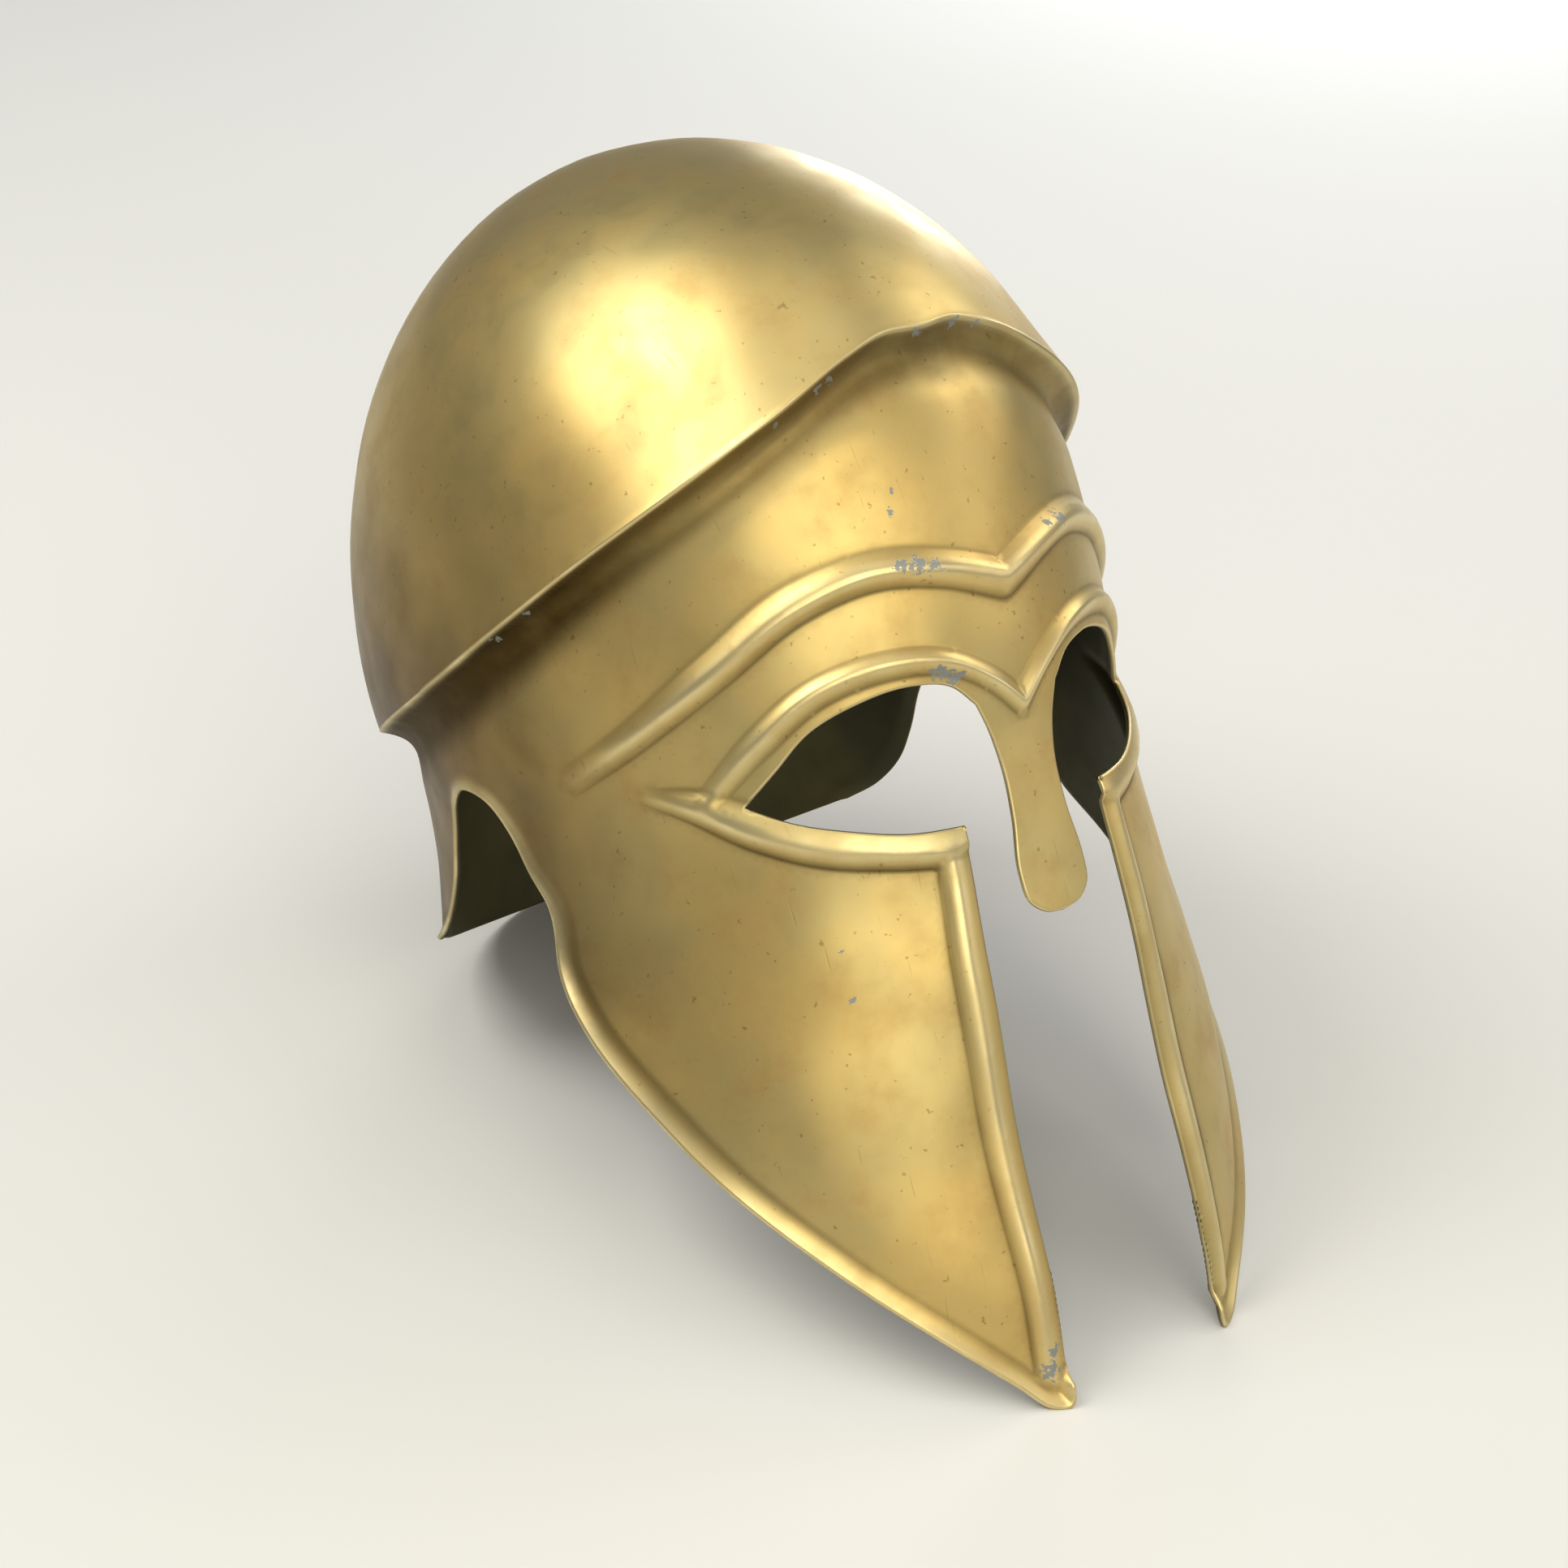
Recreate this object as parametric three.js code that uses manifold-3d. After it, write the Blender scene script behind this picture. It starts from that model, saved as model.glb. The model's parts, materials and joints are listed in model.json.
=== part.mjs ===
import * as THREE from 'three';
import Module from 'manifold-3d';
import { mergeVertices } from 'three/addons/utils/BufferGeometryUtils.js';

// Brass helmet with a nose guard and long cheek plates, raised from one sheet. Millimetres.
// It is drawn as worn, +Z up and facing -Y, then leaned back onto its cheek tips and neck guard.
// A place on the sheet is its turn, in degrees from the face (0) to the nape (180), and its level.
// Level is a share: of the crown's rise above the eyes, or of the cheek plates' drop below them.

// Overall sizes
const halfWidth = 94.5;
const frontReach = 119;
const backReach = 106.5;
const crownRise = 171.5;
const cheekDrop = 149.5;
const wall = 1.5;

// Widest ring of the dome, and how far the same dome would reach below it
const domeCentre = 0.285 * crownRise;
const domeUnder = 0.5 * crownRise;

// Height and depth of the hollow under the crown's overhang, width of the lip that the crown's edge
// flares out into, and what is ground off the three feet
const stepHeight = 19;
const hollowDepth = 3;
const lipWidth = 15;
const footCut = 0.8;

// Raised lines: height of each, and the flare along the rear edge and round the ear
const browHeight = 3;
const rimHeight = 2.2;
const lidHeight = 2.4;
const borderHeight = 1.8;
const flareHeight = 2.6;
const flareWidth = 5.6;
const notchWidth = 3;

// Mesh spacing along edges, over plain areas and over the dome
const spacing = 6.5;
const lattice = 11;
const ridgeColumns = 36;
const domeRings = 11;
const closest = 1.4;

const levelOf = (share) => share * (share > 0 ? crownRise : cheekDrop);
const radians = THREE.MathUtils.degToRad;
// Length along the sheet for one degree of turn
const degree = radians(1) * halfWidth;

// Horizontal sections: shares of the half width and the two reaches, and how square the front is
const sections = [
  { level: -1.06, half: 0.66, front: 0.873, back: 1.04, square: 2.6 },
  { level: -0.85, half: 0.826, front: 0.882, back: 1.05, square: 2.65 },
  { level: -0.57, half: 0.988, front: 0.878, back: 1.08, square: 2.27 },
  { level: -0.28, half: 0.983, front: 0.911, back: 1.08, square: 1.96 },
  { level: -0.1, half: 0.904, front: 0.904, back: 1.05, square: 2.1 },
  { level: 0.06, half: 0.889, front: 0.91, back: 0.979, square: 2.12 },
  { level: 0.21, half: 0.945, front: 0.938, back: 0.884, square: 1.93 },
  { level: 0.42, half: 0.965, front: 0.922, back: 0.869, square: 1.86 },
  { level: 0.54, half: 0.96, front: 0.88, back: 0.87, square: 1.86 },
  { level: 0.66, half: 0.955, front: 0.81, back: 0.87, square: 1.86 },
];

// Edge of the overhanging crown, and how far its lip flares out. Level across the middle plane
const ridge = [
  { turn: -8, level: 0.638, lip: 0.6 },
  { turn: 0, level: 0.636, lip: 0.6 },
  { turn: 8, level: 0.638, lip: 0.6 },
  { turn: 16, level: 0.618, lip: 0.8 },
  { turn: 30, level: 0.56, lip: 1.2 },
  { turn: 45, level: 0.495, lip: 1.8 },
  { turn: 60, level: 0.427, lip: 1.8 },
  { turn: 75, level: 0.355, lip: 1.4 },
  { turn: 90, level: 0.29, lip: 1 },
  { turn: 110, level: 0.235, lip: 0.6 },
  { turn: 140, level: 0.195, lip: 0.4 },
  { turn: 180, level: 0.178, lip: 0.4 },
];

// Outline of half the sheet, from the nape round to the nose
const guardBottom = [
  { turn: 180, level: -0.209 },
  { turn: 160, level: -0.203 },
  { turn: 140, level: -0.181 },
  { turn: 124, level: -0.15 },
];
const cheekRear = [
  { turn: 124, level: -0.15 },
  { turn: 117.5, level: -0.125 },
  { turn: 112.5, level: -0.085 },
  { turn: 109, level: -0.03 },
  { turn: 105.5, level: 0.045 },
  { turn: 101.5, level: 0.1 },
  { turn: 96, level: 0.127 },
  { turn: 91, level: 0.108 },
  { turn: 88, level: 0.056 },
  { turn: 85.5, level: -0.008 },
  { turn: 82.4, level: -0.065 },
  { turn: 80.5, level: -0.175 },
  { turn: 75.3, level: -0.277 },
  { turn: 63.8, level: -0.446 },
  { turn: 52, level: -0.628 },
  { turn: 40.3, level: -0.826 },
  { turn: 30.7, level: -0.968 },
  { turn: 26.6, level: -1.022 },
  { turn: 23.2, level: -1.03 },
  { turn: 21.5, level: -0.995 },
];
const cheekFront = [
  { turn: 21.5, level: -0.995 },
  { turn: 18.2, level: -0.84 },
  { turn: 16, level: -0.67 },
  { turn: 14.8, level: -0.48 },
  { turn: 14.9, level: -0.25 },
  { turn: 15, level: -0.055 },
];
const lowerLid = [
  { turn: 15, level: -0.055 },
  { turn: 24.5, level: -0.043 },
  { turn: 33, level: -0.017 },
  { turn: 40.5, level: 0.012 },
  { turn: 47, level: 0.046 },
];
const upperLid = [
  { turn: 47, level: 0.046 },
  { turn: 42, level: 0.082 },
  { turn: 35.5, level: 0.128 },
  { turn: 28, level: 0.151 },
  { turn: 19, level: 0.158 },
  { turn: 12.5, level: 0.142 },
  { turn: 8.8, level: 0.108 },
];
const nasal = [
  { turn: 8.8, level: 0.108 },
  { turn: 6.9, level: 0.06 },
  { turn: 5.9, level: 0.01 },
  { turn: 6, level: -0.07 },
  { turn: 7, level: -0.165 },
  { turn: 6.3, level: -0.209 },
  { turn: 3.6, level: -0.233 },
  { turn: 0, level: -0.24 },
];

// Raised lines: the crest, how far the bulge runs above and below it, and its share of the height
const brow = [
  { turn: 0, level: 0.277, above: 4.2, below: 6, rise: 1 },
  { turn: 10, level: 0.306, above: 5.2, below: 4.6, rise: 1 },
  { turn: 20, level: 0.322, above: 5.6, below: 4.2, rise: 1 },
  { turn: 32, level: 0.301, above: 6.4, below: 3.8, rise: 1 },
  { turn: 46, level: 0.236, above: 5.6, below: 4, rise: 0.95 },
  { turn: 60, level: 0.168, above: 4.4, below: 3.6, rise: 0.75 },
  { turn: 72, level: 0.118, above: 4, below: 3, rise: 0.1 },
];
const rim = [
  { turn: 0, level: 0.095, above: 3.4, below: 3.4, rise: 1 },
  { turn: 5, level: 0.137, above: 3.2, below: 3.2, rise: 1 },
  { turn: 13, level: 0.182, above: 3.2, below: 3.6, rise: 1 },
  { turn: 23, level: 0.197, above: 3.4, below: 4, rise: 1 },
  { turn: 33, level: 0.182, above: 3.4, below: 4, rise: 1 },
  { turn: 43, level: 0.13, above: 3.4, below: 4, rise: 0.9 },
  { turn: 52, level: 0.065, above: 3, below: 3, rise: 0.4 },
];
const lid = [
  { turn: 18.2, level: -0.088, above: 10, below: 4.4, rise: 1 },
  { turn: 27, level: -0.069, above: 10, below: 4.4, rise: 1 },
  { turn: 37, level: -0.04, above: 9, below: 4.4, rise: 1 },
  { turn: 46, level: 0.004, above: 7, below: 4.2, rise: 1 },
  { turn: 55, level: 0.057, above: 5, below: 3.4, rise: 0.7 },
  { turn: 61, level: 0.082, above: 2.5, below: 2, rise: 0.1 },
];
const border = [
  { turn: 18.2, level: -0.088, above: 4.4, below: 5.4, rise: 1 },
  { turn: 18.2, level: -0.25, above: 4.4, below: 5.4, rise: 1 },
  { turn: 18.1, level: -0.48, above: 4.4, below: 5.4, rise: 1 },
  { turn: 19.3, level: -0.67, above: 4.4, below: 5.4, rise: 1 },
  { turn: 21.6, level: -0.84, above: 4.4, below: 5.4, rise: 1 },
  { turn: 24.6, level: -0.97, above: 4.4, below: 5.4, rise: 0.8 },
];

// Smooth curve through a column of a table, against its place in the table
function smooth(places, values) {
  const last = places.length - 1;
  const gap = (i) => places[i + 1] - places[i];
  const rate = (i) => (values[i + 1] - values[i]) / gap(i);
  const slope = values.map((value, i) => {
    if (i === 0) return rate(0);
    if (i === last) return rate(last - 1);
    return (rate(i) * gap(i - 1) + rate(i - 1) * gap(i)) / (gap(i) + gap(i - 1));
  });
  return (at) => {
    let i = 0;
    while (i < last - 1 && at > places[i + 1]) i += 1;
    const u = THREE.MathUtils.clamp((at - places[i]) / gap(i), 0, 1);
    const start = (1 + 2 * u) * (1 - u) ** 2 * values[i] + u * (1 - u) ** 2 * gap(i) * slope[i];
    return start + u * u * (3 - 2 * u) * values[i + 1] + u * u * (u - 1) * gap(i) * slope[i + 1];
  };
}

const column = (table, name) => table.map((row) => row[name]);
const sectionLevels = column(sections, 'level').map(levelOf);
const section = (name) => smooth(sectionLevels, column(sections, name));
const halfAt = section('half');
const frontAt = section('front');
const backAt = section('back');
const squareAt = section('square');
const ridgeAt = smooth(column(ridge, 'turn'), column(ridge, 'level').map(levelOf));
const lipAt = smooth(column(ridge, 'turn'), column(ridge, 'lip'));

// Smooth line through a table on the flat sheet, as samples about one spacing apart
function line(table, gap = spacing) {
  const flat = table.map((row) => new THREE.Vector2(row.turn * degree, levelOf(row.level)));
  const along = [0];
  flat.slice(1).forEach((point, i) => along.push(along[i] + point.distanceTo(flat[i])));
  const x = smooth(along, flat.map((point) => point.x));
  const y = smooth(along, flat.map((point) => point.y));
  const extras = ['above', 'below', 'rise'].filter((name) => name in table[0]);
  const curves = extras.map((name) => [name, smooth(along, column(table, name))]);
  const length = along[along.length - 1];
  const count = Math.ceil(length / gap);
  return Array.from({ length: count + 1 }, (unused, i) => {
    const at = (length * i) / count;
    const point = { x: x(at), y: y(at) };
    curves.forEach(([name, curve]) => {
      point[name] = curve(at);
    });
    return point;
  });
}

// Nearest place on a line: distance, side (positive to the left of travel) and share along it
function nearest(path, x, y) {
  let best = { distance: Infinity };
  for (let i = 0; i + 1 < path.length; i += 1) {
    const ax = path[i].x;
    const ay = path[i].y;
    const dx = path[i + 1].x - ax;
    const dy = path[i + 1].y - ay;
    const u = THREE.MathUtils.clamp(((x - ax) * dx + (y - ay) * dy) / (dx * dx + dy * dy), 0, 1);
    const distance = Math.hypot(x - ax - u * dx, y - ay - u * dy);
    if (distance < best.distance) {
      best = { distance, side: Math.sign(dx * (y - ay) - dy * (x - ax)), index: i, share: u };
    }
  }
  return best;
}

const mix = (path, at, name) =>
  path[at.index][name] * (1 - at.share) + path[at.index + 1][name] * at.share;

const browLine = line(brow);
const rimLine = line(rim);
const lidLine = line(lid);
const borderLine = line(border);
const rearLine = line(cheekRear);
const frontLine = line(cheekFront);

// Raised line: rounded along its crest, and meeting the sheet nearly in a crease on either side
function raised(path, height, x, y) {
  const at = nearest(path, x, y);
  const share = Math.min(at.distance / mix(path, at, at.side > 0 ? 'above' : 'below'), 1);
  return height * mix(path, at, 'rise') * Math.cos((Math.PI / 2) * share) ** 1.4;
}

// Flare of the cheek plate's rear edge, narrower and lower round the ear
function flared(x, y) {
  const share = THREE.MathUtils.smoothstep(-y, -0.05 * cheekDrop, 0.4 * cheekDrop);
  const width = THREE.MathUtils.lerp(notchWidth, flareWidth, share);
  const rear = Math.min(nearest(rearLine, x, y).distance / width, 1);
  return flareHeight * (width / flareWidth) * (1 - rear) ** 1.5;
}

function relief(x, y) {
  const above = Math.max(raised(browLine, browHeight, x, y), raised(rimLine, rimHeight, x, y));
  const edges = Math.max(raised(lidLine, lidHeight, x, y), raised(borderLine, borderHeight, x, y));
  return above + Math.max(edges, flared(x, y));
}

// Face and neck before relief: an ellipse behind, a squarer one in front, by level
function body(turn, level) {
  const side = Math.sin(radians(turn));
  const ahead = Math.cos(radians(turn));
  const power = ahead > 0 ? squareAt(level) : 2;
  const scale = (Math.abs(side) ** power + Math.abs(ahead) ** power) ** (-1 / power);
  const reach = ahead > 0 ? frontAt(level) * frontReach : backAt(level) * backReach;
  return new THREE.Vector3(halfAt(level) * halfWidth * side * scale, -reach * ahead * scale, level);
}

// Dome at a turn and an angle above its widest ring
function dome(turn, angle) {
  const ahead = Math.cos(radians(turn));
  const ring = Math.cos(angle);
  const height = Math.sin(angle) * (angle > 0 ? crownRise - domeCentre : domeUnder);
  const reach = ahead > 0 ? frontReach : backReach;
  const x = halfWidth * ring * Math.sin(radians(turn));
  return new THREE.Vector3(x, -reach * ring * ahead, domeCentre + height);
}

function ridgeAngle(turn) {
  const above = ridgeAt(turn) - domeCentre;
  return Math.asin(above / (above > 0 ? crownRise - domeCentre : domeUnder));
}

// Crown at a turn, from its flared edge (share 0) to the top (share 1)
function crown(turn, share) {
  const low = ridgeAngle(turn);
  const angle = THREE.MathUtils.lerp(low, Math.PI / 2, share);
  const lip = lipAt(turn) * Math.max(1 - ((angle - low) * halfWidth) / lipWidth, 0) ** 2;
  const outward = new THREE.Vector3(Math.sin(radians(turn)), -Math.cos(radians(turn)), 0);
  return dome(turn, angle).addScaledVector(outward, lip);
}

// Sheet's outer face: body, hollow under the crown, and relief along the body's normal
function face(x, y) {
  const turn = x / degree;
  const top = ridgeAt(turn);
  const point = body(turn, y);
  const share = THREE.MathUtils.clamp((top - y) / stepHeight, 0, 1);
  const hollow = hollowDepth * Math.sin(Math.PI * Math.sqrt(share)) ** 2;
  const overhang = crown(turn, 0).sub(body(turn, top));
  const east = body(turn + 0.1, y).sub(body(turn - 0.1, y));
  const north = body(turn, y + 0.1).sub(body(turn, y - 0.1));
  const normal = east.cross(north).normalize();
  return point.addScaledVector(overhang, (1 - share) ** 3).addScaledVector(normal, relief(x, y) - hollow);
}

// Outline of the half sheet, ridge first, as one closed loop
const ridgeTurns = Array.from({ length: ridgeColumns + 1 }, (unused, i) => (180 * i) / ridgeColumns);
const ridgePoints = ridgeTurns.map((turn) => ({ x: turn * degree, y: ridgeAt(turn) }));
const straight = (from, to) => {
  const count = Math.ceil(Math.abs(to.y - from.y) / spacing);
  return Array.from({ length: count + 1 }, (unused, i) => ({
    x: from.x,
    y: from.y + ((to.y - from.y) * i) / count,
  }));
};
const bottomLine = line(guardBottom);
const nasalLine = line(nasal, spacing / 2);
const loop = [ridgePoints];
loop.push(straight(ridgePoints[ridgeColumns], bottomLine[0]));
loop.push(bottomLine, rearLine, frontLine, line(lowerLid), line(upperLid), nasalLine);
loop.push(straight(nasalLine[nasalLine.length - 1], ridgePoints[0]));
const outline = loop.flatMap((part) => part.slice(0, -1));

function inside(x, y) {
  let odd = false;
  outline.forEach((a, i) => {
    const b = outline[(i + 1) % outline.length];
    if (a.y > y !== b.y > y && x < a.x + ((b.x - a.x) * (y - a.y)) / (b.y - a.y)) odd = !odd;
  });
  return odd;
}

// Points beside a line, at a distance to the left of travel
function beside(path, distance) {
  return path.map((point, i) => {
    const before = path[Math.max(i - 1, 0)];
    const after = path[Math.min(i + 1, path.length - 1)];
    const dx = after.x - before.x;
    const dy = after.y - before.y;
    const offset = typeof distance === 'number' ? distance : distance(point);
    const scale = offset / Math.hypot(dx, dy);
    return { x: point.x - dy * scale, y: point.y + dx * scale };
  });
}

const points = [...outline];
const closed = [...outline, outline[0]];
function place(candidates, clearance) {
  candidates.forEach(({ x, y }) => {
    if (!inside(x, y) || nearest(closed, x, y).distance < clearance) return;
    if (points.some((point) => Math.hypot(point.x - x, point.y - y) < clearance)) return;
    points.push({ x, y });
  });
}
[browLine, rimLine, lidLine, borderLine].forEach((path) => {
  place(path, closest);
  place(beside(path, (point) => point.above), closest);
  place(beside(path, (point) => -point.below), closest);
  place(beside(path, (point) => point.above / 2), closest);
  place(beside(path, (point) => -point.below / 2), closest);
});
[notchWidth, flareWidth].forEach((gap) => place(beside(rearLine, -gap), closest));
[0.1, 0.25, 0.45, 0.7, 1].forEach((share) => {
  place(ridgePoints.map(({ x, y }) => ({ x, y: y - share * stepHeight })), closest);
});
const rows = Math.ceil((crownRise + cheekDrop) / lattice);
for (let row = 0; row < rows; row += 1) {
  const y = crownRise - row * lattice;
  const shift = (row % 2) / 2;
  const across = Math.ceil((180 * degree) / lattice);
  place(
    Array.from({ length: across }, (unused, i) => ({ x: (i + shift + 0.25) * lattice, y })),
    0.5 * lattice,
  );
}

// Delaunay triangles of the points, by adding one point at a time
function triangulate(flat) {
  const far = 20 * crownRise;
  const all = [...flat, { x: -far, y: -far }, { x: far, y: -far }, { x: 0, y: far }];
  const circle = (a, b, c) => {
    const [p, q, r] = [all[a], all[b], all[c]];
    const twice = 2 * (p.x * (q.y - r.y) + q.x * (r.y - p.y) + r.x * (p.y - q.y));
    const [pp, qq, rr] = [p, q, r].map((point) => point.x ** 2 + point.y ** 2);
    const x = (pp * (q.y - r.y) + qq * (r.y - p.y) + rr * (p.y - q.y)) / twice;
    const y = (pp * (r.x - q.x) + qq * (p.x - r.x) + rr * (q.x - p.x)) / twice;
    return { corners: [a, b, c], x, y, reach: (p.x - x) ** 2 + (p.y - y) ** 2 };
  };
  let triangles = [circle(flat.length, flat.length + 1, flat.length + 2)];
  flat.forEach((point, index) => {
    const edges = new Map();
    triangles = triangles.filter(({ corners, x, y, reach }) => {
      if ((point.x - x) ** 2 + (point.y - y) ** 2 >= reach) return true;
      corners.forEach((from, i) => {
        const to = corners[(i + 1) % 3];
        if (!edges.delete(`${to} ${from}`)) edges.set(`${from} ${to}`, [from, to]);
      });
      return false;
    });
    edges.forEach(([from, to]) => triangles.push(circle(from, to, index)));
  });
  return triangles.map(({ corners }) => corners).filter((corners) => Math.max(...corners) < flat.length);
}

const middle = (corners, axis) => corners.reduce((sum, i) => sum + points[i][axis], 0) / 3;
const sheet = triangulate(points).filter((corners) => inside(middle(corners, 'x'), middle(corners, 'y')));

// Half skin: sheet, then rings up from the ridge, whose points come first and closest together
const skin = points.map(({ x, y }) => face(x, y));
ridgeTurns.forEach((turn, i) => skin[i].copy(crown(turn, 0)));
const ring = [ridgeTurns.map((turn, i) => i)];
for (let k = 1; k < domeRings; k += 1) {
  ring.push(ridgeTurns.map((turn) => skin.push(crown(turn, (k / domeRings) ** 1.4)) - 1));
}
const apex = skin.push(dome(0, Math.PI / 2)) - 1;
const faces = [...sheet];
for (let k = 0; k + 1 < domeRings; k += 1) {
  for (let i = 0; i < ridgeColumns; i += 1) {
    faces.push([ring[k][i], ring[k][i + 1], ring[k + 1][i + 1]]);
    faces.push([ring[k][i], ring[k + 1][i + 1], ring[k + 1][i]]);
  }
}
for (let i = 0; i < ridgeColumns; i += 1) {
  faces.push([ring[domeRings - 1][i], ring[domeRings - 1][i + 1], apex]);
}

// Other half by mirror, sharing the points of the middle plane
const mirror = skin.map((point, i) => {
  if (Math.abs(point.x) > 1e-6) return skin.push(new THREE.Vector3(-point.x, point.y, point.z)) - 1;
  point.x = 0;
  return i;
});
faces.push(...faces.map(([a, b, c]) => [mirror[a], mirror[c], mirror[b]]));

// Sheet of one thickness: inner face along the normals, and a wall round every free edge
const outer = new THREE.BufferGeometry().setFromPoints(skin);
outer.setIndex(faces.flat());
outer.computeVertexNormals();
const normal = outer.getAttribute('normal');
const inner = skin.map((point, i) => {
  return point.clone().addScaledVector(new THREE.Vector3().fromBufferAttribute(normal, i), -wall);
});
const count = skin.length;
const solid = [...faces, ...faces.map(([a, b, c]) => [c + count, b + count, a + count])];
const open = new Map();
faces.forEach((corners) => {
  corners.forEach((from, i) => {
    const to = corners[(i + 1) % 3];
    if (!open.delete(`${to} ${from}`)) open.set(`${from} ${to}`, [from, to]);
  });
});
open.forEach(([from, to]) => {
  solid.push([to, from, from + count], [to, from + count, to + count]);
});

// Lean back until the cheek tips and the neck guard are equally low
const all = [...skin, ...inner];
const lowest = (side, lean) =>
  Math.min(...side.map((point) => point.z * Math.cos(lean) - point.y * Math.sin(lean)));
const fore = all.filter((point) => point.y < 0);
const nape = all.filter((point) => point.y > 0);
let lean = 0;
for (let change = Math.PI / 8; change > 1e-7; change /= 2) {
  lean += lowest(fore, lean) < lowest(nape, lean) ? change : -change;
}
const shell = new THREE.BufferGeometry().setFromPoints(all);
shell.setIndex(solid.flat());
shell.rotateX(-lean);
shell.computeBoundingBox();
const box = shell.boundingBox;
shell.translate(0, -(box.min.y + box.max.y) / 2, -box.min.z - footCut);

// Grind the feet flat on the ground plane
const wasm = await Module();
wasm.setup();
const toManifold = (geometry) => {
  const bare = geometry.clone();
  bare.deleteAttribute('normal');
  bare.deleteAttribute('uv');
  const welded = mergeVertices(bare);
  const vertProperties = new Float32Array(welded.getAttribute('position').array);
  const triVerts = new Uint32Array(welded.index.array);
  return new wasm.Manifold(new wasm.Mesh({ numProp: 3, vertProperties, triVerts }));
};
const ground = new THREE.BoxGeometry(4 * halfWidth, 4 * frontReach, 4 * wall).translate(0, 0, -2 * wall);
const cut = toManifold(shell).subtract(toManifold(ground)).getMesh();
const geometry = new THREE.BufferGeometry();
geometry.setAttribute('position', new THREE.BufferAttribute(new Float32Array(cut.vertProperties), 3));
geometry.setIndex(new THREE.BufferAttribute(new Uint32Array(cut.triVerts), 1));

const brass = new THREE.MeshStandardMaterial({ color: 0xb9975b, metalness: 1, roughness: 0.35 });
const helmet = new THREE.Mesh(geometry, brass);
helmet.name = 'shell';
const group = new THREE.Group();
group.name = 'helmet';
group.add(helmet);
export default group;
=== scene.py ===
import json

import bpy
import numpy as np
from mathutils import Matrix, Vector
from mathutils.geometry import delaunay_2d_cdt
from mathutils.kdtree import KDTree

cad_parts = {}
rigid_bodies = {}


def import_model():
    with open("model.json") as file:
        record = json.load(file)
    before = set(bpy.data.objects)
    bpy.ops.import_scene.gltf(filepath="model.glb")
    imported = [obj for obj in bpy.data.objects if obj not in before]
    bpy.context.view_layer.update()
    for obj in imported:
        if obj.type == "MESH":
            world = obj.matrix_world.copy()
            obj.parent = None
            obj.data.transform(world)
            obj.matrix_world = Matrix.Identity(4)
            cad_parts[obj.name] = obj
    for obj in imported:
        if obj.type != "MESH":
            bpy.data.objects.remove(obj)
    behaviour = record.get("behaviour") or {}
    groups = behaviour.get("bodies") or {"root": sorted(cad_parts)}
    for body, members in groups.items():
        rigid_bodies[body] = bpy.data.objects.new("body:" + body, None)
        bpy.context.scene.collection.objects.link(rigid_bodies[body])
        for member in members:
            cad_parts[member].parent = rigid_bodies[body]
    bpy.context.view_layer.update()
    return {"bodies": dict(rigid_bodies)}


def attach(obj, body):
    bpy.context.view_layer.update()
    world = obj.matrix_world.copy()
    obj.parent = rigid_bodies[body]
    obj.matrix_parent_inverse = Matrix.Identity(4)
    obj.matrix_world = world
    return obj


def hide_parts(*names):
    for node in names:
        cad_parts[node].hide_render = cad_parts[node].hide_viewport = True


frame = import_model()
root = next(iter(frame["bodies"]))


# Camera
# Above the helmet's right cheek, looking down over the nose guard, with the picture turned
# slightly. Its place is in the helmet's own frame.
camera_place = Vector((-0.4992, -0.5249, 0.5247))
camera_azimuth = -43.1
camera_elevation = 31.0
camera_roll = 6.97
camera_lens = 73.4
camera_sensor = 36

camera_data = bpy.data.cameras.new("camera")
camera_data.lens = camera_lens
camera_data.sensor_width = camera_sensor
camera_data.clip_end = 20
camera = bpy.data.objects.new("camera", camera_data)
camera.matrix_world = (
    Matrix.Translation(camera_place)
    @ Matrix.Rotation(np.radians(camera_azimuth), 4, "Z")
    @ Matrix.Rotation(np.radians(90 - camera_elevation), 4, "X")
    @ Matrix.Rotation(np.radians(camera_roll), 4, "Z")
)
bpy.context.scene.collection.objects.link(camera)
bpy.context.scene.camera = camera
bpy.context.scene.view_settings.view_transform = "Standard"


# Helmet
# One sheet of brass, 1.5 mm thick, raised over stakes into a bowl that swells out
# above the face. The brow, the eye rims and the borders of the cheek plates are
# punched up from inside, and the edges are flared and filed round.
half_width, front_reach, back_reach = 0.0945, 0.119, 0.1065
crown_rise, cheek_drop, wall = 0.1715, 0.1495, 0.0015
dome_centre, dome_under = 0.285 * crown_rise, 0.5 * crown_rise
step_height, hollow_depth, lip_width, foot_cut = 0.019, 0.003, 0.015, 0.0008
brow_height, rim_height, lid_height = 0.003, 0.0022, 0.0024
border_height = 0.0018
flare_height, flare_width, notch_width = 0.0026, 0.0056, 0.003
# Depth below the eyes where the flare starts to widen, and how much deeper it is full, as
# shares of the cheek plates' drop
flare_from, flare_over = -0.05, 0.45
edge_round = 0.00035
planish_depth = 0.0005
# direction, length in metres, phase
planish_waves = [
    ((1, 0.4, 0.7), 0.045, 0.3), ((-0.5, 1, 0.6), 0.037, 1.9), ((0.2, -0.6, 1), 0.031, 4.1),
    ((0.9, -0.8, 0.3), 0.024, 2.6), ((0.3, 0.9, -1), 0.021, 5.2), ((-1, 0.1, 0.8), 0.017, 0.9),
]
degree = np.radians(1) * half_width

lattice = 0.00165
ridge_columns = 232
dome_rings = 38
# A ring's share of the way up is (its number / dome_rings)^ring_power, closer beside the ridge
ring_power = 1.4
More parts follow.
